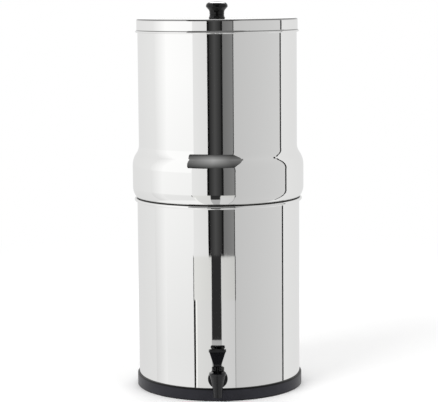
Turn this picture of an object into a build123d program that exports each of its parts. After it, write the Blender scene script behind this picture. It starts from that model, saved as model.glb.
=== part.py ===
import os
from math import asin, cos, degrees, radians, sin, sqrt, tan

from build123d import *

# Gravity water filter: two nested polished steel chambers, a pressed lid, a rubber base ring and a lever tap.
# Millimetres. Z is up, the tap faces -Y. The origin is on the chambers' axis, on the surface it stands on.

# Sheet metal
sheet = 0.8

# Base ring
ring_wall = 2.6
ring_height = 18.3
ring_flange = 3.5
ring_ledge = 24.65
ring_fit = 0.15
ring_round = 1.2
ring_chamfer = 0.8

# Lower chamber
lower_radius = 120.65
lower_height = 283.0
bottom_corner = 8.0
kick_up = 4.5
kick_inset = 30.65
curl_radius = 2.4

# Upper chamber
upper_inset = 3.2
upper_height = 262.9
bulge_overhang = 6.35
bulge_height = 57.0
shoulder_height = 14.7
neck_depth = 16.5
neck_corner = 10.0
neck_fillet = 2.0
foot_fillet = 23.5
bulge_fillet = 30.0
shoulder_fillet = 20.0
hem_radius = 1.6
nest_gap = 0.6
seat_gap = 0.3

# Lid
lid_side_gap = 0.6
lid_top_gap = 0.5
lid_skirt = 18.9
lid_corner = 2.5
flare_radius = 1.8
flare_angle = 70.0
lip_radius = 1.2
lip_turn = 170.0
dish_depth = 1.6
dish_inset = 8.8
dish_slope = 8.0
dish_fillets = (20.0, 10.0)

# Knob, its screw and washer
knob_height = 25.9
knob_radius = 16.1
knob_neck_radius = 10.9
knob_foot_radius = 12.0
knob_foot_height = 2.4
knob_neck_start = 4.2
knob_neck_height = 12.4
knob_flare_height = 18.0
knob_edge_height = 23.4
knob_rounds = (0.6, 3.0, 7.0, 1.6)
knob_edge_round = 5.5
knob_groove = 0.45
knob_groove_height = 6.4
screw_radius = 2.4
screw_depth = 14.0
screw_head_radius = 4.6
screw_head_height = 2.6
screw_slot = 1.2
knob_washer_radius = 7.0
knob_washer_thickness = 1.2
thread_gap = 0.05

# Filters, plugs and their fasteners
hole_pitch = 60.0
hole_count = 4
hole_gap = 0.5
stem_radius = 5.5
stem_reach = 26.0
stem_bore = 3.0
washer_radius = 12.5
washer_thickness = 2.0
block_radius = 28.5
block_length = 214.0
block_core = 9.0
block_roof = 24.0
block_edge = 5.0
cap_wall = 1.5
cap_height = 12.0
cap_socket = 5.0
cap_chamfer = 1.5
flute_count = 24
flute_radius = 1.2
flute_depth = 0.6
flute_rise = 3.0
plug_radius = 13.0
plug_head = 5.0
plug_reach = 18.0
nut_radius = 9.0
nut_height = 9.0
wing_span = 36.0
wing_width = 3.6
wing_height = 12.0
wing_drop = 2.0
wing_turn = 35.0

# Tap: heights are counted from the shank's axis
tap_height = 33.0
tap_reach = 16.5
spout_radius = 6.4
spout_drop = 23.2
waist_radius = 7.9
waist_drop = 6.0
body_radius = 11.3
body_cover = 0.6
bonnet_radius = 12.0
bonnet_thickness = 4.4
bonnet_drop = 0.8
bonnet_slope = 5.5
bonnet_recess = 0.6
spigot_wall = 3.3
spigot_length = 5.0
valve_radius = 6.2
valve_drop = 7.0
outlet_radius = 3.6
shank_radius = 8.0
shank_bore = 4.0
shank_length = 24.0
collar_width = 2.6
collar_thickness = 1.4
thread_chamfer = 0.8
tap_washer_radius = 14.15
outer_washer_thickness = 3.0
inner_washer_thickness = 2.8
wall_sag = 1.2
wall_hole_gap = 0.3
tap_nut_flats = 23.0
tap_nut_height = 9.0

# Tap stem, cup, pin and lever
rod_radius = 2.2
rod_gap = 0.3
rod_head = 3.3
button_radius = 3.6
button_height = 2.0
cup_side_gap = 0.7
cup_floor = 2.2
cup_height = 8.0
cup_wall = 1.1
cup_gap = 0.3
cup_lift = 3.5
pin_radius = 1.1
pin_gap = 0.04
pin_height = 5.0
cam_gap = 0.3
lever_angle = 60.0
ear_thickness = 3.4
heel_back = 4.2
neck_front = 4.0
neck_rise = 7.0
fork_depth = 4.6
paddle_rise = 17.0
paddle_width = 24.9
paddle_lean = 15.0
paddle_thickness = 3.0
paddle_round = 0.7
grip_back = 8.0
grip_depth = 8.5
grip_thickness = 3.0
grip_inset = 0.4
grip_round = 2.0
rib_width = 8.2
rib_depth = 4.0

os.makedirs("parts", exist_ok=True)

# Base ring: an outer band with an inward flange that carries the lower chamber
ring_bore = lower_radius + ring_fit
ring_radius = ring_bore + ring_wall
ring_opening = lower_radius - ring_ledge
with BuildPart() as base_ring:
    with BuildSketch(Plane.XZ):
        with BuildLine():
            Polyline(
                (ring_opening, 0),
                (ring_radius, 0),
                (ring_radius, ring_height),
                (ring_bore, ring_height),
            )
            FilletPolyline(
                (ring_bore, ring_height),
                (ring_bore, ring_flange),
                (ring_opening, ring_flange),
                (ring_opening, 0),
                radius=[bottom_corner, ring_round],
            )
        make_face()
    revolve(axis=Axis.Z)
    circles = base_ring.edges().filter_by(GeomType.CIRCLE)
    outer_edges = circles.filter_by(lambda edge: edge.radius > ring_radius - ring_round)
    fillet(outer_edges.sort_by(Axis.Z)[-1], ring_round)
    chamfer(outer_edges.sort_by(Axis.Z)[0], ring_chamfer)
base_ring.part.label = "base_ring"
export_step(base_ring.part, "parts/base_ring.step")

# The sheet metal pieces are drawn by the middle line of their sheet, traced at its thickness and turned
half = sheet / 2

# Lower chamber: from the middle of its stepped bottom to the curled rim
bottom_line = ring_flange + half
lower_line = lower_radius - half
kick_radius = lower_radius - kick_inset
curl_line = curl_radius - half
curl_centre = (lower_line + curl_line, lower_height - curl_radius)
tap_hole_radius = shank_radius + wall_hole_gap
with BuildPart() as lower_chamber:
    with BuildSketch(Plane.XZ):
        with BuildLine():
            FilletPolyline(
                (0, bottom_line + kick_up),
                (kick_radius - kick_up, bottom_line + kick_up),
                (kick_radius, bottom_line),
                (lower_line, bottom_line),
                (lower_line, curl_centre[1]),
                radius=[kick_up / 2, kick_up / 2, bottom_corner - half],
            )
            CenterArc(curl_centre, curl_line, 180, -270)
        trace(line_width=sheet)
    revolve(axis=Axis.Z)
    with BuildSketch(Plane(origin=(0, -lower_radius, tap_height), x_dir=(1, 0, 0), z_dir=(0, -1, 0))):
        Circle(tap_hole_radius)
    extrude(amount=4 * sheet, both=True, mode=Mode.SUBTRACT)
lower_chamber.part.label = "lower_chamber"
export_step(lower_chamber.part, "parts/lower_chamber.step")

# Upper chamber: flat floor, a neck that nests in the lower chamber, a 45 degree seat over the curled rim,
# the bulged foot, the shoulder and a straight wall with a hemmed rim
floor_line = lower_height - neck_depth + half
neck_line = lower_radius - sheet - nest_gap - half
bulge_line = lower_radius + bulge_overhang - half
upper_radius = lower_radius - upper_inset
upper_line = upper_radius - half
shoulder_low = lower_height + bulge_height
shoulder_high = shoulder_low + shoulder_height
rim_height = lower_height + upper_height
hem_line = hem_radius - half
hem_centre = (upper_line - hem_line, rim_height - hem_radius)
seat_rise = curl_centre[1] - curl_centre[0] + sqrt(2) * (curl_radius + seat_gap + half)
with BuildPart() as upper_chamber:
    with BuildSketch(Plane.XZ):
        with BuildLine():
            FilletPolyline(
                (0, floor_line),
                (neck_line, floor_line),
                (neck_line, neck_line + seat_rise),
                (bulge_line, bulge_line + seat_rise),
                (bulge_line, shoulder_low),
                (upper_line, shoulder_high),
                (upper_line, hem_centre[1]),
                radius=[neck_corner, neck_fillet, foot_fillet, bulge_fillet, shoulder_fillet],
            )
            CenterArc(hem_centre, hem_line, 0, 180)
        trace(line_width=sheet)
    revolve(axis=Axis.Z)
    with BuildSketch(Plane.XY.offset(floor_line)):
        with PolarLocations(hole_pitch, hole_count):
            Circle(stem_radius + hole_gap)
    extrude(amount=2 * sheet, both=True, mode=Mode.SUBTRACT)
upper_chamber.part.label = "upper_chamber"
export_step(upper_chamber.part, "parts/upper_chamber.step")

# Lid: shallow dish, rounded corner, skirt, and a lip that flares out and rolls under
lid_line = upper_radius + lid_side_gap + half
lid_top = rim_height + lid_top_gap + sheet
lid_top_line = lid_top - half
dish_line = lid_top_line - dish_depth
dish_radius = upper_radius - dish_inset
flare = radians(flare_angle)
lip_centre = (lid_line + flare_radius - (flare_radius + lip_radius) * cos(flare), lid_top - lid_skirt)
flare_top = lip_centre[1] + (flare_radius + lip_radius) * sin(flare)
with BuildPart() as lid:
    with BuildSketch(Plane.XZ):
        with BuildLine():
            FilletPolyline(
                (0, dish_line),
                (dish_radius - dish_slope, dish_line),
                (dish_radius, lid_top_line),
                (lid_line, lid_top_line),
                (lid_line, flare_top),
                radius=[*dish_fillets, lid_corner],
            )
            CenterArc((lid_line + flare_radius, flare_top), flare_radius, 180, flare_angle)
            CenterArc(lip_centre, lip_radius, flare_angle, -lip_turn)
        trace(line_width=sheet)
    revolve(axis=Axis.Z)
    with BuildSketch(Plane.XY.offset(dish_line)):
        Circle(screw_radius + thread_gap)
    extrude(amount=2 * sheet, both=True, mode=Mode.SUBTRACT)
lid.part.label = "lid"
export_step(lid.part, "parts/lid.step")

# Knob: a foot, a slim neck with a groove, a flared and domed head, turned in one piece
dish_top = dish_line + half
dome_rise = knob_height - knob_edge_height
dome_radius = (knob_radius**2 + dome_rise**2) / (2 * dome_rise)
dome_angle = degrees(asin(knob_radius / dome_radius))
with BuildPart() as lid_knob:
    with BuildSketch(Plane.XZ) as knob_section:
        with BuildLine():
            FilletPolyline(
                (knob_foot_radius, dish_top),
                (knob_foot_radius, dish_top + knob_foot_height),
                (knob_neck_radius, dish_top + knob_neck_start),
                (knob_neck_radius, dish_top + knob_neck_height),
                (knob_radius, dish_top + knob_flare_height),
                (knob_radius, dish_top + knob_edge_height),
                radius=knob_rounds,
            )
            CenterArc((0, dish_top + knob_height - dome_radius), dome_radius, 90 - dome_angle, dome_angle)
            Polyline((0, dish_top + knob_height), (0, dish_top), (knob_foot_radius, dish_top))
        make_face()
        fillet(knob_section.vertices().group_by(Axis.X)[-1].sort_by(Axis.Y)[-1], knob_edge_round)
    revolve(axis=Axis.Z)
    with BuildSketch(Plane.XZ):
        with Locations((knob_neck_radius, dish_top + knob_groove_height)):
            Circle(knob_groove)
    revolve(axis=Axis.Z, mode=Mode.SUBTRACT)
    with BuildSketch(Plane.XY.offset(dish_top)):
        Circle(screw_radius + thread_gap)
    extrude(amount=screw_depth + knob_groove, mode=Mode.SUBTRACT)
lid_knob.part.label = "lid_knob"
export_step(lid_knob.part, "parts/lid_knob.step")

# Washer and screw that hold the knob from under the lid
lid_underside = dish_line - half
with BuildPart() as knob_washer:
    with BuildSketch(Plane.XY.offset(lid_underside)):
        Circle(knob_washer_radius)
        Circle(screw_radius + thread_gap, mode=Mode.SUBTRACT)
    extrude(amount=-knob_washer_thickness)
knob_washer.part.label = "knob_washer"
export_step(knob_washer.part, "parts/knob_washer.step")

screw_seat = lid_underside - knob_washer_thickness
with BuildPart() as knob_screw:
    with BuildSketch(Plane.XY.offset(screw_seat)):
        Circle(screw_head_radius)
    extrude(amount=-screw_head_height)
    fillet(knob_screw.faces().sort_by(Axis.Z)[0].edges(), screw_head_height / 2)
    with BuildSketch(Plane.XY.offset(screw_seat)):
        Circle(screw_radius)
    extrude(amount=dish_top + screw_depth - screw_seat)
    with BuildSketch(Plane.XY.offset(screw_seat - screw_head_height)):
        Rectangle(screw_head_radius, screw_slot)
        Rectangle(screw_slot, screw_head_radius)
    extrude(amount=screw_slot, mode=Mode.SUBTRACT)
knob_screw.part.label = "knob_screw"
export_step(knob_screw.part, "parts/knob_screw.step")

# Floor of the upper chamber: a sealing washer above and a wing nut below each hole
floor_top = floor_line + half
floor_underside = floor_line - half
with BuildPart() as seal_washers:
    with BuildSketch(Plane.XY.offset(floor_top)):
        with PolarLocations(hole_pitch, hole_count):
            Circle(washer_radius)
            Circle(stem_radius + thread_gap, mode=Mode.SUBTRACT)
    extrude(amount=washer_thickness)
seal_washers.part.label = "seal_washers"
export_step(seal_washers.part, "parts/seal_washers.step")

with BuildPart() as wing_nuts:
    with BuildSketch(Plane.XY.offset(floor_underside)):
        with PolarLocations(hole_pitch, hole_count):
            Circle(nut_radius)
    extrude(amount=-nut_height)
    with BuildSketch(Plane.XY.offset(floor_underside - wing_drop)):
        with PolarLocations(hole_pitch, hole_count):
            SlotOverall(wing_span, wing_width, rotation=wing_turn)
    extrude(amount=-wing_height)
    with BuildSketch(Plane.XY.offset(floor_underside)):
        with PolarLocations(hole_pitch, hole_count):
            Circle(stem_radius + thread_gap)
    extrude(amount=-(wing_drop + wing_height), mode=Mode.SUBTRACT)
wing_nuts.part.label = "wing_nuts"
export_step(wing_nuts.part, "parts/wing_nuts.step")

# Plugs in the two holes that hold no filter, front and back
seal_top = floor_top + washer_thickness
with BuildPart() as blocking_plugs:
    with BuildSketch(Plane.XY.offset(seal_top)):
        with PolarLocations(hole_pitch, 2, start_angle=90):
            Circle(plug_radius)
    extrude(amount=plug_head)
    fillet(blocking_plugs.faces().group_by(Axis.Z)[-1].edges(), plug_head / 2)
    with BuildSketch(Plane.XY.offset(seal_top)):
        with PolarLocations(hole_pitch, 2, start_angle=90):
            Circle(stem_radius)
    extrude(amount=-plug_reach)
blocking_plugs.part.label = "blocking_plugs"
export_step(blocking_plugs.part, "parts/blocking_plugs.step")

# Filters: a carbon block glued into a fluted base cap with a hollow threaded stem, left and right
block_foot = seal_top + cap_height - cap_socket
for side, hole_x in (("left", -hole_pitch), ("right", hole_pitch)):
    with BuildPart() as filter_base:
        with BuildSketch(Plane.XY.offset(seal_top)):
            with Locations((hole_x, 0)):
                Circle(block_radius + cap_wall)
        extrude(amount=cap_height)
        with BuildSketch(Plane.XY.offset(block_foot)):
            with Locations((hole_x, 0)):
                Circle(block_radius + thread_gap)
        extrude(amount=cap_socket, mode=Mode.SUBTRACT)
        chamfer(filter_base.faces().sort_by(Axis.Z)[0].edges(), cap_chamfer)
        with BuildSketch(Plane.XY.offset(seal_top)):
            with Locations((hole_x, 0)):
                with PolarLocations(block_radius + cap_wall + flute_radius - flute_depth, flute_count):
                    Circle(flute_radius)
        extrude(amount=cap_height - flute_rise, mode=Mode.SUBTRACT)
        with BuildSketch(Plane.XY.offset(seal_top)):
            with Locations((hole_x, 0)):
                Circle(stem_radius)
        extrude(amount=-stem_reach)
        with BuildSketch(Plane.XY.offset(block_foot)):
            with Locations((hole_x, 0)):
                Circle(stem_bore)
        extrude(amount=-(stem_reach + cap_height), mode=Mode.SUBTRACT)
    filter_base.part.label = f"filter_base_{side}"
    export_step(filter_base.part, f"parts/filter_base_{side}.step")

    with BuildPart() as filter_block:
        with BuildSketch(Plane.XY.offset(block_foot)):
            with Locations((hole_x, 0)):
                Circle(block_radius)
        extrude(amount=block_length)
        fillet(filter_block.faces().sort_by(Axis.Z)[-1].edges(), block_edge)
        with BuildSketch(Plane.XY.offset(block_foot)):
            with Locations((hole_x, 0)):
                Circle(block_core)
        extrude(amount=block_length - block_roof, mode=Mode.SUBTRACT)
    filter_block.part.label = f"filter_block_{side}"
    export_step(filter_block.part, f"parts/filter_block_{side}.step")

# Tap: its valve axis stands upright before the wall, its shank goes back through the wall
tap_y = -(lower_radius + tap_reach)
valve_axis = Axis((0, tap_y, 0), (0, 0, 1))
valve_section = Plane(origin=(0, tap_y, 0), x_dir=(1, 0, 0), z_dir=(0, -1, 0))
lever_side = Plane(origin=(0, tap_y, 0), x_dir=(0, 1, 0), z_dir=(1, 0, 0))
spout_foot = tap_height - spout_drop
valve_floor = tap_height - valve_drop
body_top = tap_height + shank_radius + body_cover
bonnet_top = body_top + bonnet_thickness


def shank_plane(distance):
    """Plane across the shank, that far behind the valve axis, facing the chamber."""
    return Plane(origin=(0, tap_y + distance, tap_height), x_dir=(1, 0, 0), z_dir=(0, 1, 0))


# Tap body: flared cone spout, collar, shank, valve chamber with its seat, outlet and inlet
collar_face = tap_reach - outer_washer_thickness
spigot_radius = body_radius - spigot_wall
with BuildPart() as tap_body:
    with BuildSketch(valve_section):
        with BuildLine():
            Line((0, spout_foot), (spout_radius, spout_foot))
            ThreePointArc(
                (spout_radius, spout_foot), (waist_radius, tap_height - waist_drop), (body_radius, body_top)
            )
            Polyline((body_radius, body_top), (0, body_top), (0, spout_foot))
        make_face()
    revolve(axis=valve_axis)
    with BuildSketch(shank_plane(0)):
        Circle(shank_radius)
    extrude(amount=tap_reach + shank_length)
    chamfer(tap_body.faces().sort_by(Axis.Y)[-1].edges(), thread_chamfer)
    with BuildSketch(shank_plane(collar_face - collar_thickness)):
        Circle(shank_radius + collar_width)
    extrude(amount=collar_thickness)
    with BuildSketch(Plane.XY.offset(spout_foot)):
        with Locations((0, tap_y)):
            Circle(outlet_radius)
    extrude(amount=valve_floor - spout_foot, mode=Mode.SUBTRACT)
    with BuildSketch(Plane.XY.offset(valve_floor)):
        with Locations((0, tap_y)):
            Circle(valve_radius)
    extrude(amount=body_top - valve_floor, mode=Mode.SUBTRACT)
    with BuildSketch(Plane.XY.offset(body_top)):
        with Locations((0, tap_y)):
            Circle(spigot_radius)
    extrude(amount=-spigot_length, mode=Mode.SUBTRACT)
    with BuildSketch(shank_plane(0)):
        Circle(shank_bore)
    extrude(amount=tap_reach + shank_length, mode=Mode.SUBTRACT)
tap_body.part.label = "tap_body"
export_step(tap_body.part, "parts/tap_body.step")

# Bonnet: shallow cone cap with a spigot into the body and a guide hole for the stem
rod_hole_radius = rod_radius + rod_gap
with BuildPart() as tap_bonnet:
    with BuildSketch(valve_section):
        with BuildLine():
            Polyline(
                (rod_hole_radius, bonnet_top),
                (bonnet_radius - bonnet_slope, bonnet_top),
                (bonnet_radius, bonnet_top - bonnet_drop),
                (bonnet_radius, body_top),
                (spigot_radius - thread_gap, body_top),
                (spigot_radius - thread_gap, body_top - spigot_length),
                (valve_radius, body_top - spigot_length),
                (valve_radius, body_top + bonnet_recess),
                (rod_hole_radius, body_top + bonnet_recess),
                close=True,
            )
        make_face()
    revolve(axis=valve_axis)
tap_bonnet.part.label = "tap_bonnet"
export_step(tap_bonnet.part, "parts/tap_bonnet.step")

# Washers that hug the curved wall from outside and inside, and the nut behind them
tank_radius = lower_radius - sheet
with BuildPart() as tap_outer_washer:
    with BuildSketch(shank_plane(collar_face)):
        Circle(tap_washer_radius)
        Circle(shank_radius + thread_gap, mode=Mode.SUBTRACT)
    extrude(amount=outer_washer_thickness + wall_sag)
    with Locations((0, 0, tap_height)):
        Cylinder(lower_radius + thread_gap, 4 * tap_washer_radius, mode=Mode.SUBTRACT)
tap_outer_washer.part.label = "tap_outer_washer"
export_step(tap_outer_washer.part, "parts/tap_outer_washer.step")

nut_face = tap_reach + sheet + inner_washer_thickness
with BuildPart() as tap_inner_washer:
    with BuildSketch(shank_plane(nut_face)):
        Circle(tap_nut_flats / sqrt(3))
        Circle(shank_radius + thread_gap, mode=Mode.SUBTRACT)
    extrude(amount=-inner_washer_thickness - sheet)
    with Locations((0, 0, tap_height)):
        Cylinder(tank_radius - thread_gap, 4 * tap_washer_radius, mode=Mode.INTERSECT)
tap_inner_washer.part.label = "tap_inner_washer"
export_step(tap_inner_washer.part, "parts/tap_inner_washer.step")

with BuildPart() as tap_nut:
    with BuildSketch(shank_plane(nut_face)):
        RegularPolygon(tap_nut_flats / 2, 6, major_radius=False)
        Circle(shank_radius + thread_gap, mode=Mode.SUBTRACT)
    extrude(amount=tap_nut_height)
    chamfer(tap_nut.faces().sort_by(Axis.Y)[-1].outer_wire().edges(), thread_chamfer)
tap_nut.part.label = "tap_nut"
export_step(tap_nut.part, "parts/tap_nut.step")

# Stem: a rod with a pin hole near its domed top and a button at its foot that holds the cup
cup_foot = valve_floor + cup_gap
button_foot = cup_foot + cup_floor
cup_radius = valve_radius - cup_side_gap
pin_z = bonnet_top + pin_height
pin_plane = Plane(origin=(0, tap_y, pin_z), x_dir=(0, 1, 0), z_dir=(1, 0, 0))
with BuildPart() as tap_stem:
    with BuildSketch(Plane.XY.offset(button_foot)):
        with Locations((0, tap_y)):
            Circle(button_radius)
    extrude(amount=button_height)
    with BuildSketch(Plane.XY.offset(button_foot)):
        with Locations((0, tap_y)):
            Circle(rod_radius)
    extrude(amount=pin_z + rod_head - button_foot)
    fillet(tap_stem.faces().sort_by(Axis.Z)[-1].edges(), rod_radius / 2)
    with BuildSketch(pin_plane):
        Circle(pin_radius)
    extrude(amount=rod_radius, both=True, mode=Mode.SUBTRACT)
tap_stem.part.label = "tap_stem"
export_step(tap_stem.part, "parts/tap_stem.step")

with BuildPart() as seat_cup:
    with BuildSketch(valve_section):
        with BuildLine():
            Polyline(
                (0, cup_foot),
                (cup_radius, cup_foot),
                (cup_radius, cup_foot + cup_height),
                (cup_radius - cup_wall, cup_foot + cup_height),
                (cup_radius - cup_wall, button_foot + button_height + 2 * cup_wall),
                (rod_radius + thread_gap, button_foot + button_height + cup_wall),
                (rod_radius + thread_gap, button_foot + button_height),
                (button_radius + thread_gap, button_foot + button_height),
                (button_radius + thread_gap, button_foot),
                (0, button_foot),
                close=True,
            )
        make_face()
    revolve(axis=valve_axis)
seat_cup.part.label = "seat_cup"
export_step(seat_cup.part, "parts/seat_cup.step")

lever_half = rod_hole_radius + ear_thickness
with BuildPart() as lever_pin:
    with BuildSketch(pin_plane):
        Circle(pin_radius)
    extrude(amount=lever_half, both=True)
lever_pin.part.label = "lever_pin"
export_step(lever_pin.part, "parts/lever_pin.step")

# Lever: the ears under the pin are cams. Their distance from the pin to the bonnet grows evenly with the
# angle, which makes the curve an involute, so the stem rises by the same amount for each degree.
cam_start = pin_height - cam_gap
cam_rise = cup_lift / radians(lever_angle)


def cam_point(angle):
    """Point of the cam that meets the bonnet when the lever is tipped forward by that many degrees."""
    turn = radians(angle)
    reach = cam_start + cam_rise * turn
    return (
        -reach * sin(turn) - cam_rise * cos(turn),
        pin_z - reach * cos(turn) + cam_rise * sin(turn),
    )


neck_top = pin_z + neck_rise
grip_foot = neck_top + paddle_rise
nose = cam_point(lever_angle)
paddle_plane = Plane(
    origin=(0, tap_y - neck_front, neck_top),
    x_dir=(1, 0, 0),
    z_dir=(0, -cos(radians(paddle_lean)), sin(radians(paddle_lean))),
)
paddle_length = (paddle_rise + grip_thickness / 2) / cos(radians(paddle_lean))
paddle_back = neck_front - paddle_thickness / cos(radians(paddle_lean))
lean_back = paddle_rise * tan(radians(paddle_lean))
with BuildPart() as tap_lever:
    with BuildSketch(paddle_plane):
        with BuildLine():
            Polyline(
                (grip_inset - paddle_width / 2, paddle_length),
                (-lever_half, 0),
                (lever_half, 0),
                (paddle_width / 2 - grip_inset, paddle_length),
                close=True,
            )
        make_face()
    extrude(amount=-paddle_thickness)
    paddle_faces = tap_lever.faces().filter_by(Axis((0, 0, 0), paddle_plane.z_dir))
    fillet(paddle_faces.sort_by(Axis.Y)[0].edges(), paddle_round)
    with BuildSketch(lever_side):
        with BuildLine():
            Line((heel_back, pin_z - cam_start), cam_point(0))
            Spline(*[cam_point(lever_angle * step / 6) for step in range(7)])
            TangentArc(
                nose,
                (-neck_front, pin_z + neck_front),
                tangent=(-cos(radians(lever_angle)), sin(radians(lever_angle))),
            )
            Polyline(
                (-neck_front, pin_z + neck_front),
                (-neck_front, neck_top),
                (heel_back, neck_top),
                (heel_back, pin_z - cam_start),
            )
        make_face()
    extrude(amount=lever_half, both=True)
    with BuildSketch(lever_side):
        with BuildLine():
            Polyline(
                (-paddle_back - paddle_thickness / 2, neck_top - grip_thickness),
                (heel_back, neck_top - grip_thickness),
                (heel_back, neck_top),
                (lean_back - paddle_back + rib_depth, grip_foot),
                (lean_back - paddle_back - paddle_thickness / 2, grip_foot),
                close=True,
            )
        make_face()
    extrude(amount=rib_width / 2, both=True)
    with BuildSketch(Plane.XY.offset(grip_foot)):
        with Locations((0, tap_y + grip_back)):
            RectangleRounded(paddle_width, grip_depth, grip_round, align=(Align.CENTER, Align.MAX))
    extrude(amount=grip_thickness)
    with BuildSketch(lever_side):
        with Locations((0, pin_z + fork_depth)):
            Rectangle(4 * heel_back + 4 * neck_front, 4 * fork_depth, align=(Align.CENTER, Align.MAX))
    extrude(amount=rod_hole_radius, both=True, mode=Mode.SUBTRACT)
    with BuildSketch(pin_plane):
        Circle(pin_radius + pin_gap)
    extrude(amount=lever_half, both=True, mode=Mode.SUBTRACT)
tap_lever.part.label = "tap_lever"
export_step(tap_lever.part, "parts/tap_lever.step")
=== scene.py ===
from math import cos, radians, sin

import bmesh
import bpy
from mathutils import Matrix, Vector

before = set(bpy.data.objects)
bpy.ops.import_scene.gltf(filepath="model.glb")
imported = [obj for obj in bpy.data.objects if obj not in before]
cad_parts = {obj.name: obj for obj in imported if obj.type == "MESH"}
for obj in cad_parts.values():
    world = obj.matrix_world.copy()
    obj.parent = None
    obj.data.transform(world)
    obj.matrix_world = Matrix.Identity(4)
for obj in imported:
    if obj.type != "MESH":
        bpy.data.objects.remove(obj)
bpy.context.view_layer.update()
mm = 0.001
print("frame loaded", len(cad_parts), "nodes")


def hexColour(text, alpha=1.0):
    channels = [int(text[i:i + 2], 16) / 255 for i in (1, 3, 5)]
    return [c / 12.92 if c <= 0.04045 else ((c + 0.055) / 1.055) ** 2.4 for c in channels] + [alpha]


def addNode(tree, kind, settings=None, links=None):
    # settings and links name a socket, by its name or number, or else a setting of the node
    node = tree.nodes.new(kind)
    for name, value in (settings or {}).items():
        if isinstance(name, int) or (name in node.inputs and not hasattr(node, name)):
            node.inputs[name].default_value = value
        else:
            setattr(node, name, value)
    for name, (source, output) in (links or {}).items():
        tree.links.new(source.outputs[output], node.inputs[name])
    return node


def newMaterial(name, settings):
    material = bpy.data.materials.new(name)
    material.use_nodes = True
    tree = material.node_tree
    shader = tree.nodes["Principled BSDF"]
    for key, value in settings.items():
        shader.inputs[key].default_value = value
    return material, tree, shader


def mixColours(tree, share, first, second):
    # Each colour is a hex value or an earlier mix
    mix = addNode(tree, "ShaderNodeMix", {"data_type": "RGBA"}, {0: share})
    for number, colour in ((6, first), (7, second)):
        if isinstance(colour, str):
            mix.inputs[number].default_value = hexColour(colour)
        else:
            tree.links.new(colour.outputs[2], mix.inputs[number])
    return mix


noiseLow, noiseHigh = 0.3, 0.7  # nearly all of a noise texture's values lie between these


def noiseRange(tree, noise, ends):
    return addNode(tree, "ShaderNodeMapRange", {"From Min": noiseLow, "From Max": noiseHigh,
                   "To Min": ends[0], "To Max": ends[1]}, {"Value": (noise, "Fac")})


def distanceFrom(tree, source, middle):
    offset = addNode(tree, "ShaderNodeMath", {"operation": "SUBTRACT", 1: middle}, {0: source})
    return addNode(tree, "ShaderNodeMath", {"operation": "ABSOLUTE"}, {0: (offset, 0)})


def bandNode(tree, source, middle, full, clear, share):
    # The share up to "full" from the middle, fading to nothing at "clear"
    away = distanceFrom(tree, source, middle)
    return addNode(tree, "ShaderNodeMapRange", {"From Min": full, "From Max": clear, "To Min": share, "To Max": 0.0},
                   {"Value": (away, 0)})


def pastNode(tree, band, source, least):
    # The band only where the source is more than "least"
    past = addNode(tree, "ShaderNodeMath", {"operation": "GREATER_THAN", 1: least}, {0: source})
    return addNode(tree, "ShaderNodeMath", {"operation": "MULTIPLY"}, {0: (band, 0), 1: (past, 0)})


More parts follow.
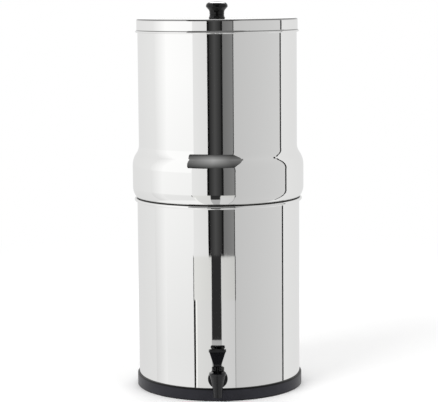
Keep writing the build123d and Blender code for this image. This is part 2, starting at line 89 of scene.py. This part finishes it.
def polishedSteel():
    # 304 stainless sheet, drawn, spun and buffed to a mirror outside. The reflections are crisp and wander a
    # little with the sheet; the hand polish leaves a faint broken haze. Inside it is left as rolled and pickled,
    # a satin that scatters the light and so counts as only partly metallic.
    # Painted shade darkens the seat under the curled rim and the crease above the lid's bead, and a painted dark
    # reflection runs along the lid's top corner.
    look = {
        "outside": "#f3f3f2", "roughness": (0.022, 0.04), "hazeSize": 45 * mm,
        "waveAcross": 70 * mm, "waveAlong": 190 * mm, "waveDepth": 0.05 * mm,
        # how far the surface turns from the axis where the inside's finish starts and where it is complete
        "insideFacing": (-0.1, -0.35), "inside": "#d6d6d3", "insideMetallic": 0.2, "satinRoughness": (0.26, 0.36),
        "grainWidth": 1.2 * mm, "grainLength": 60 * mm, "grainDepth": 0.01 * mm,
        # each band of painted shade: middle height, half height of the dark and of its fade, share, and least radius
        "crease": "#0c0c0c",
        "creaseShades": ((283.9 * mm, 0.5 * mm, 1.4 * mm, 0.9, 0.0), (530.1 * mm, 0.3 * mm, 0.85 * mm, 0.78, 118.2 * mm)),
        # the painted dark reflection along the corner: middle of its slope, half width of the dark and of its fade,
        # and share
        "corner": (0.7, 0.15, 0.33, 0.85), "cornerFoot": 544.5 * mm, "cornerRadius": 117.1 * mm,
    }
    material, tree, shader = newMaterial("polishedStainlessSteel", {"Metallic": 1.0})
    place = addNode(tree, "ShaderNodeTexCoord")
    height = addNode(tree, "ShaderNodeSeparateXYZ", links={"Vector": (place, "Object")})
    radial = addNode(tree, "ShaderNodeVectorMath", {"operation": "MULTIPLY", 1: (1, 1, 0)}, {0: (place, "Object")})
    radius = addNode(tree, "ShaderNodeVectorMath", {"operation": "LENGTH"}, {0: (radial, 0)})

    # Faces that look at the axis are the inside of a chamber or of the lid's skirt
    outward = addNode(tree, "ShaderNodeVectorMath", {"operation": "NORMALIZE"}, {0: (radial, 0)})
    facing = addNode(tree, "ShaderNodeVectorMath", {"operation": "DOT_PRODUCT"},
                     {0: (place, "Normal"), 1: (outward, 0)})
    inside = addNode(tree, "ShaderNodeMapRange", {"From Min": look["insideFacing"][0],
                     "From Max": look["insideFacing"][1]}, {"Value": (facing, "Value")})

    wavePlace = addNode(tree, "ShaderNodeMapping",
                        {"Scale": (1 / look["waveAcross"], 1 / look["waveAcross"], 1 / look["waveAlong"])},
                        {"Vector": (place, "Object")})
    wave = addNode(tree, "ShaderNodeTexNoise", {"Scale": 1.0, "Detail": 0.0}, {"Vector": (wavePlace, 0)})
    haze = addNode(tree, "ShaderNodeTexNoise", {"Scale": 1 / look["hazeSize"], "Detail": 4.0},
                   {"Vector": (place, "Object")})
    grainPlace = addNode(tree, "ShaderNodeMapping",
                         {"Scale": (1 / look["grainLength"], 1 / look["grainLength"], 1 / look["grainWidth"])},
                         {"Vector": (place, "Object")})
    grain = addNode(tree, "ShaderNodeTexNoise", {"Scale": 1.0, "Detail": 3.0}, {"Vector": (grainPlace, 0)})

    polish = noiseRange(tree, haze, look["roughness"])
    satin = noiseRange(tree, grain, look["satinRoughness"])
    roughness = addNode(tree, "ShaderNodeMix", {"data_type": "FLOAT"},
                        {0: (inside, 0), 2: (polish, 0), 3: (satin, 0)})
    metallic = addNode(tree, "ShaderNodeMapRange", {"To Min": 1.0, "To Max": look["insideMetallic"]},
                       {"Value": (inside, 0)})

    colour = mixColours(tree, (inside, 0), look["outside"], look["inside"])
    bands = []
    # Painted shade: dark bands at the seat under the curled rim and above the lid's bead
    for *crease, least in look["creaseShades"]:
        bands.append(pastNode(tree, bandNode(tree, (height, "Z"), *crease), (radius, "Value"), least))
    # Painted dark reflection: a dark line along the lid's top corner, where the surface turns from side to top
    corner = pastNode(tree, bandNode(tree, (facing, "Value"), *look["corner"]), (height, "Z"), look["cornerFoot"])
    bands.append(pastNode(tree, corner, (radius, "Value"), look["cornerRadius"]))
    # Each band mixes painted shade or a painted dark reflection into the steel's colour
    for band in bands:
        colour = mixColours(tree, (band, 0), colour, look["crease"])

    ripple = addNode(tree, "ShaderNodeBump", {"Strength": 1.0, "Distance": look["waveDepth"]},
                     {"Height": (wave, "Fac")})
    scour = addNode(tree, "ShaderNodeBump", {"Distance": look["grainDepth"]},
                    {"Strength": (inside, 0), "Height": (grain, "Fac"), "Normal": (ripple, 0)})
    tree.links.new(colour.outputs[2], shader.inputs["Base Color"])
    tree.links.new(roughness.outputs[0], shader.inputs["Roughness"])
    tree.links.new(metallic.outputs[0], shader.inputs["Metallic"])
    tree.links.new(scour.outputs[0], shader.inputs["Normal"])
    return material


def turnedSteel():
    # Stainless screw, washer and pin: turned, so a fine irregular tool mark all over and a soft sheen
    look = {
        "colour": "#a9a9a6", "dull": "#8f8f8c", "roughness": (0.22, 0.38),
        "markWidth": 0.5 * mm, "markDepth": 0.02 * mm, "markStrength": 0.5,
    }
    material, tree, shader = newMaterial("turnedStainlessSteel", {"Metallic": 1.0})
    place = addNode(tree, "ShaderNodeTexCoord")
    marks = addNode(tree, "ShaderNodeTexNoise", {"Scale": 1 / look["markWidth"], "Detail": 2.0},
                    {"Vector": (place, "Object")})
    tone = mixColours(tree, (marks, "Fac"), look["dull"], look["colour"])
    gloss = addNode(tree, "ShaderNodeMapRange", {"To Min": look["roughness"][0], "To Max": look["roughness"][1]},
                    {"Value": (marks, "Fac")})
    relief = addNode(tree, "ShaderNodeBump", {"Strength": look["markStrength"], "Distance": look["markDepth"]},
                     {"Height": (marks, "Fac")})
    tree.links.new(tone.outputs[2], shader.inputs["Base Color"])
    tree.links.new(gloss.outputs[0], shader.inputs["Roughness"])
    tree.links.new(relief.outputs[0], shader.inputs["Normal"])
    return material


cloudLow, cloudHigh = 0.35, 0.7  # noise values at which the second colour starts and is full


def mouldedPolymer(name, look):
    # Every moulded or pressed polymer here has a base colour clouded by a second one, a skin whose gloss
    # changes a little from place to place, and a surface relief that is either orange peel or grain
    material, tree, shader = newMaterial(name, {
        "IOR": look.get("ior", 1.5), "Specular IOR Level": look.get("specular", 0.5),
        "Transmission Weight": look.get("clear", 0.0),
        "Sheen Weight": look.get("sheen", 0.0), "Sheen Roughness": 0.5})
    place = addNode(tree, "ShaderNodeTexCoord")
    cloud = addNode(tree, "ShaderNodeTexNoise", {"Scale": 1 / look["cloudSize"], "Detail": 5.0, "Roughness": 0.6},
                    {"Vector": (place, "Object")})
    relief = addNode(tree, "ShaderNodeTexNoise",
                     {"Scale": 1 / look["reliefSize"], "Detail": look.get("reliefDetail", 2.0)},
                     {"Vector": (place, "Object")})
    share = addNode(tree, "ShaderNodeMapRange", {"From Min": cloudLow, "From Max": cloudHigh},
                    {"Value": (cloud, "Fac")})
    tone = mixColours(tree, (share, 0), look["colour"], look["cloud"])
    # Painted shade: the colour darkens towards the foot and the rim
    if "edges" in look:  # heights of the foot and the rim, how far in the dark fades, and its colour
        foot, rim, fade, dark = look["edges"]
        reach = (rim - foot) / 2
        height = addNode(tree, "ShaderNodeSeparateXYZ", links={"Vector": (place, "Object")})
        away = distanceFrom(tree, (height, "Z"), (foot + rim) / 2)
        near = addNode(tree, "ShaderNodeMapRange", {"From Min": reach - fade, "From Max": reach},
                       {"Value": (away, 0)})
        tone = mixColours(tree, (near, 0), tone, dark)
    skin = noiseRange(tree, cloud, look["roughness"])
    bump = addNode(tree, "ShaderNodeBump", {"Strength": 1.0, "Distance": look["reliefDepth"]},
                   {"Height": (relief, "Fac")})
    tree.links.new(tone.outputs[2], shader.inputs["Base Color"])
    tree.links.new(skin.outputs[0], shader.inputs["Roughness"])
    tree.links.new(bump.outputs[0], shader.inputs["Normal"])
    return material


steel, turned = polishedSteel(), turnedSteel()
# EPDM rubber, compression moulded: matt slate black with a faint grey bloom, and painted shade darkening its top and
# bottom edges. The real 0.1 mm grain is drawn at 0.7 mm.
ringRubber = mouldedPolymer("mouldedEpdmRubber", {
    # painted shade at the ring's top edge, where it meets the chamber, and at its foot on the floor
    "edges": (1.2 * mm, 16.6 * mm, 0.8 * mm, "#020203"),
    "colour": "#25252a", "cloud": "#2d2d33", "roughness": (0.34, 0.48), "cloudSize": 35 * mm,
    "reliefSize": 0.7 * mm, "reliefDepth": 0.05 * mm, "specular": 0.12, "sheen": 0.12})
# Cut rubber sheet for washers: blacker and drier than the ring
sheetRubber = mouldedPolymer("cutRubberSheet", {
    "colour": "#151516", "cloud": "#1d1d1e", "roughness": (0.5, 0.7), "cloudSize": 9 * mm,
    "reliefSize": 0.5 * mm, "reliefDepth": 0.04 * mm, "specular": 0.35})
# ABS from a polished tool: deep black, wet highlights, a trace of orange peel
tapAbs = mouldedPolymer("polishedBlackAbs", {
    "colour": "#0a0a0c", "cloud": "#101013", "roughness": (0.04, 0.08), "cloudSize": 14 * mm,
    "reliefSize": 4 * mm, "reliefDepth": 0.012 * mm, "specular": 0.5})
# Turned phenolic knob, lacquered: the blackest piece, with the sharpest highlights
knobPhenolic = mouldedPolymer("lacqueredBlackPhenolic", {
    "colour": "#060606", "cloud": "#0a0a0a", "roughness": (0.05, 0.09), "cloudSize": 18 * mm,
    "reliefSize": 6 * mm, "reliefDepth": 0.01 * mm, "specular": 0.3})
# Glass filled nylon: satin, with a fine speckle
nylon = mouldedPolymer("glassFilledNylon", {
    "colour": "#171718", "cloud": "#232324", "roughness": (0.34, 0.48), "cloudSize": 2.5 * mm,
    "reliefSize": 0.8 * mm, "reliefDepth": 0.03 * mm})
# Pressed activated carbon: dead matt, granular; the 0.3 mm grains are drawn at 1.1 mm
carbon = mouldedPolymer("pressedActivatedCarbon", {
    "colour": "#121212", "cloud": "#262626", "roughness": (0.8, 0.95), "cloudSize": 2.2 * mm,
    "reliefSize": 1.1 * mm, "reliefDepth": 0.35 * mm, "reliefDetail": 4.0, "specular": 0.2})
# Food grade silicone: milky and soft
silicone = mouldedPolymer("milkySilicone", {
    "colour": "#d9d8d2", "cloud": "#cfcec7", "roughness": (0.3, 0.42), "cloudSize": 6 * mm,
    "reliefSize": 1.5 * mm, "reliefDepth": 0.02 * mm, "ior": 1.41, "clear": 0.35})

finish = {
    steel: ["lower_chamber", "upper_chamber", "lid"],
    turned: ["knob_washer", "knob_screw", "lever_pin"],
    ringRubber: ["base_ring"],
    sheetRubber: ["tap_outer_washer", "tap_inner_washer", "seal_washers"],
    tapAbs: ["tap_body", "tap_bonnet", "tap_lever"],
    knobPhenolic: ["lid_knob"],
    nylon: ["tap_nut", "tap_stem", "wing_nuts", "blocking_plugs", "filter_base_left", "filter_base_right"],
    carbon: ["filter_block_left", "filter_block_right"],
    silicone: ["seat_cup"],
}
for material, names in finish.items():
    for name in names:
        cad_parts[name].data.materials.clear()
        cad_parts[name].data.materials.append(material)
print("materials made for", sum(len(names) for names in finish.values()), "nodes")

# Stage, light and camera
floor = {"halfSize": 9.0, "colour": "#ffffff", "fadeStart": 0.55, "fadeEnd": 1.5}
view = {
    "distance": 2460 * mm, "height": 586.2 * mm, "aside": 1.0 * mm, "turn": 1.25, "pitch": 7.2, "roll": 0.45,
    "focalPixels": 1660, "imageWidth": 438, "sensorWidth": 36,
}


def emptyMaterial(name):
    material = bpy.data.materials.new(name)
    material.use_nodes = True
    material.node_tree.nodes.clear()
    material.cycles.emission_sampling = "NONE"
    return material, material.node_tree


def stagePiece(name, bm, material):
    mesh = bpy.data.meshes.new(name)
    bm.to_mesh(mesh)
    bm.free()
    mesh.materials.append(material)
    piece = bpy.data.objects.new(name, mesh)
    bpy.context.scene.collection.objects.link(piece)
    return piece


def paperFloor():
    # White paper: it takes the object's shadow near by and runs out to the white of the background
    material, tree = emptyMaterial("paperFloor")
    place = addNode(tree, "ShaderNodeTexCoord")
    away = addNode(tree, "ShaderNodeVectorMath", {"operation": "LENGTH"}, {0: (place, "Object")})
    fade = addNode(tree, "ShaderNodeMapRange", {"interpolation_type": "SMOOTHSTEP", "From Min": floor["fadeStart"],
                   "From Max": floor["fadeEnd"]}, {"Value": (away, "Value")})
    path = addNode(tree, "ShaderNodeLightPath")
    share = addNode(tree, "ShaderNodeMath", {"operation": "MULTIPLY"}, {0: (fade, 0), 1: (path, "Is Camera Ray")})
    paper = addNode(tree, "ShaderNodeBsdfDiffuse", {"Color": hexColour(floor["colour"])})
    white = addNode(tree, "ShaderNodeEmission", {"Color": (1, 1, 1, 1), "Strength": 1.0})
    mixed = addNode(tree, "ShaderNodeMixShader", links={0: (share, 0), 1: (paper, 0), 2: (white, 0)})
    addNode(tree, "ShaderNodeOutputMaterial", links={"Surface": (mixed, 0)})
    return material


bm = bmesh.new()
bmesh.ops.create_grid(bm, x_segments=1, y_segments=1, size=floor["halfSize"])
stagePiece("floor", bm, paperFloor()).visible_glossy = False

# What the polished steel sees. Panels stand round the object and only glossy rays meet them. Azimuths are in
# degrees from the camera's side, plus to the right; an edge runs between two (distance, height) points in metres.
lowFade = (-0.65, 0.3)
wall, deep = ((3.4, -2.6), (3.4, 6.5)), ((0.1, -2.6), (3.4, -2.6))
table, farTable = ((0.007, 0.0), (0.785, 0.0)), ((0.785, 0.0), (1.313, 0.0))
panels = [
    # name, edge, azimuths, shades, share of the shade at the foot
    ("leftBack", wall, (-172, -100), ("#dcdcdc", "#e6e6e6"), 0.94),
    ("leftSide", wall, (-100, -78), ("#e8e8e8", "#fdfdfd"), 0.85),
    ("leftWhite", wall, (-78, -34.5), ("#ffffff", "#fcfcfc"), 0.8),
    ("leftFront", wall, (-34.5, -14.2), ("#e6e6e6", "#e0e0e0"), 1.0),
    ("frontGapEdge", wall, (-14.2, -11.5), ("#040404", "#141414"), 1.0),
    ("frontGapLeft", wall, (-11.5, -4.0), ("#2a2a2a", "#4a4a4a"), 1.0),
    ("frontGapMiddle", wall, (-4.0, 4.5), ("#4a4a4a", "#2d2d2d"), 1.0),
    ("frontGapRight", wall, (4.5, 7.1), ("#1c1c1c", "#161616"), 1.0),
    ("greyFlag", wall, (7.1, 21.4), ("#707070", "#808080"), 1.0),
    ("flagEdge", wall, (21.4, 22.6), ("#3c3c3c", "#3c3c3c"), 1.0),
    ("rightPanel", wall, (22.6, 99.6), ("#c2c2c2", "#cfcfcf"), 1.0),
    ("rightSeam", wall, (99.6, 102.6), ("#101010", "#202020"), 1.0),
    ("rightBack", wall, (102.6, 172), ("#e2e2e2", "#dadada"), 1.0),
    ("backWhite", wall, (172, 188), ("#ffffff", "#ffffff"), 1.0),
    ("deepFloor", deep, (-180, 22.6), ("#f2f2f2", "#f2f2f2"), 1.0),
    ("deepFloorRight", deep, (22.6, 99.6), ("#c4c4c4", "#c8c8c8"), 1.0),
    ("deepFloorBack", deep, (99.6, 180), ("#e4e4e4", "#f2f2f2"), 1.0),
    ("ceiling", ((0.0, 4.05), (2.0, 4.0)), (-180, 180), ("#b8b8b8", "#b8b8b8"), 1.0),
    ("ceilingLine", ((3.0, 1.24), (3.0, 1.42)), (-41, -12), ("#0a0a0a", "#0a0a0a"), 1.0),
]
tablePanels = [
    ("tableGlint", table, (-33.2, -31.0), ("#f0f0ee", "#f4f4f2"), 1.0),
    ("tableLeft", table, (-31.0, -11.0), ("#dcdcdb", "#d6d6d5"), 1.0),
    ("tableMiddle", table, (-11.0, 3.6), ("#acacac", "#a8a8a8"), 1.0),
    ("tableRight", table, (3.6, 22.2), ("#d0d0d0", "#cbcbcb"), 1.0),
    ("tableEdge", table, (22.2, 23.2), ("#9a9a9a", "#9a9a9a"), 1.0),
    ("farTable", farTable, (-35.2, 22.4), ("#e0e0de", "#c7c7c5"), 1.0),
    ("farTableEdge", farTable, (22.4, 23.6), ("#505050", "#505050"), 1.0),
    ("tableSlot", ((0.412, 0.002), (1.313, 0.002)), (-10.4, 3.2), ("#2c2c2c", "#2c2c2c"), 1.0),
    ("tableSide", ((3.2, -0.84), (3.2, -0.453)), (-36.0, -32.6), ("#181818", "#0c0c0c"), 1.0),
    ("farTableSide", ((1.313, -0.1), (1.313, 0.0)), (-36.2, -34.9), ("#3c3c3c", "#3c3c3c"), 1.0),
]
ceilingGap = {  # a dark bay above the front panels, wider at its top and palest in its middle
    "edge": ((3.0, 1.42), (1.95, 3.87)), "fade": (1.42, 3.5), "low": 0.16,
    "halves": (
        ("ceilingGapLeft", (-42, -9), (-62, -9), ("#808080", "#a6a6a6")),
        ("ceilingGapRight", (-9, 22), (-9, 62), ("#a6a6a6", "#747474")),
    ),
}
panelStrength = 1.1
degreesPerFace = 3
lowerRadius = 120.6 * mm


def panelPoint(azimuth, distance, height, surface):
    # The steel turns a ray by twice the angle of its normal, so a line that should look straight in the mirror
    # starts where that normal leaves the steel
    ahead, normal = radians(azimuth + view["turn"]), radians(azimuth / 2 + view["turn"])
    return (surface * sin(normal) + distance * sin(ahead), -surface * cos(normal) - distance * cos(ahead), height)


def panelMaterial(name, azimuths, shades, fade, low):
    material, tree = emptyMaterial(name)
    place = addNode(tree, "ShaderNodeTexCoord")
    rotated = addNode(tree, "ShaderNodeMapping", {"Rotation": (0, 0, radians(90 - view["turn"]))},
                     {"Vector": (place, "Object")})
    axes = addNode(tree, "ShaderNodeSeparateXYZ", links={"Vector": (rotated, 0)})
    angle = addNode(tree, "ShaderNodeMath", {"operation": "ARCTAN2"}, {0: (axes, "Y"), 1: (axes, "X")})
    share = addNode(tree, "ShaderNodeMapRange", {"From Min": radians(azimuths[0]), "From Max": radians(azimuths[1])},
                    {"Value": (angle, 0)})
    shade = mixColours(tree, (share, 0), *shades)
    level = addNode(tree, "ShaderNodeMapRange", {"From Min": fade[0], "From Max": fade[1],
                    "To Min": low * panelStrength, "To Max": panelStrength}, {"Value": (axes, "Z")})
    light = addNode(tree, "ShaderNodeEmission", links={"Color": (shade, 2), "Strength": (level, 0)})
    addNode(tree, "ShaderNodeOutputMaterial", links={"Surface": (light, 0)})
    return material


def addPanel(name, edge, azimuths, shades, low, surface=0.0, fade=lowFade, topAzimuths=None):
    bm = bmesh.new()
    faces = max(1, round((azimuths[1] - azimuths[0]) / degreesPerFace))
    bmesh.ops.create_grid(bm, x_segments=faces, y_segments=1, size=0.5)
    for corner in bm.verts:
        across, along = corner.co.x + 0.5, corner.co.y + 0.5
        span = topAzimuths if topAzimuths and along > 0.5 else azimuths
        point = [a + (b - a) * along for a, b in zip(*edge)]
        corner.co = panelPoint(span[0] + (span[1] - span[0]) * across, *point, surface)
    piece = stagePiece(name, bm, panelMaterial(name, azimuths, shades, fade, low))
    piece.visible_camera = piece.visible_diffuse = piece.visible_shadow = False
    piece.visible_transmission = piece.visible_volume_scatter = False


for panel in panels:
    addPanel(*panel)
for panel in tablePanels:
    addPanel(*panel, surface=lowerRadius)
for name, azimuths, topAzimuths, shades in ceilingGap["halves"]:
    addPanel(name, ceilingGap["edge"], azimuths, shades, ceilingGap["low"], fade=ceilingGap["fade"],
             topAzimuths=topAzimuths)

airLight, airSeen = 0.6, 1.0  # strength of the white air as light, and as the background
world = bpy.data.worlds.new("studioAir")
bpy.context.scene.world = world
world.use_nodes = True
tree = world.node_tree
tree.nodes.clear()
path = addNode(tree, "ShaderNodeLightPath")
level = addNode(tree, "ShaderNodeMapRange", {"To Min": airLight, "To Max": airSeen},
                {"Value": (path, "Is Camera Ray")})
air = addNode(tree, "ShaderNodeBackground", {"Color": (1, 1, 1, 1)}, {"Strength": (level, 0)})
addNode(tree, "ShaderNodeOutputWorld", links={"Surface": (air, 0)})

lamps = {
    "size": (1.6, 1.6), "aim": (0, 0, 0.25),
    "places": {  # place and watts
        "keyLamp": ((-1.6, -1.8, 2.2), 42), "fillLamp": ((1.9, -1.4, 1.6), 22), "backLamp": ((0.2, 1.9, 2.2), 20),
    },
}
# The overhead lamp puts a gloss on the turned knob and lights nothing else
knobLamp = {"size": (1.0, 0.8), "aim": (0, 0, 0.57), "place": (0.05, 0.9, 1.6), "watts": 45}


def addLamp(name, place, aim, size, watts):
    data = bpy.data.lights.new(name, "AREA")
    data.shape, data.size, data.size_y, data.energy = "RECTANGLE", *size, watts
    lamp = bpy.data.objects.new(name, data)
    lamp.location = place
    lamp.rotation_euler = (Vector(aim) - Vector(place)).to_track_quat("-Z", "Y").to_euler()
    bpy.context.scene.collection.objects.link(lamp)
    return lamp


for name, (place, watts) in lamps["places"].items():
    addLamp(name, place, lamps["aim"], lamps["size"], watts).visible_glossy = False
gloss = addLamp("knobLamp", knobLamp["place"], knobLamp["aim"], knobLamp["size"], knobLamp["watts"])
gloss.visible_diffuse = False
gloss.light_linking.receiver_collection = bpy.data.collections.new("knobLamp")
gloss.light_linking.receiver_collection.objects.link(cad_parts["lid_knob"])

cameraData = bpy.data.cameras.new("camera")
cameraData.sensor_width = view["sensorWidth"]
cameraData.lens = view["sensorWidth"] * view["focalPixels"] / view["imageWidth"]
camera = bpy.data.objects.new("camera", cameraData)
camera.matrix_world = (
    Matrix.Rotation(radians(view["turn"]), 4, "Z")
    @ Matrix.Translation((view["aside"], -view["distance"], view["height"]))
    @ Matrix.Rotation(radians(90 - view["pitch"]), 4, "X")
    @ Matrix.Rotation(-radians(view["roll"]), 4, "Z")
)
bpy.context.scene.collection.objects.link(camera)
bpy.context.scene.camera = camera
bpy.context.scene.view_settings.view_transform = "Standard"
print("stage ready")
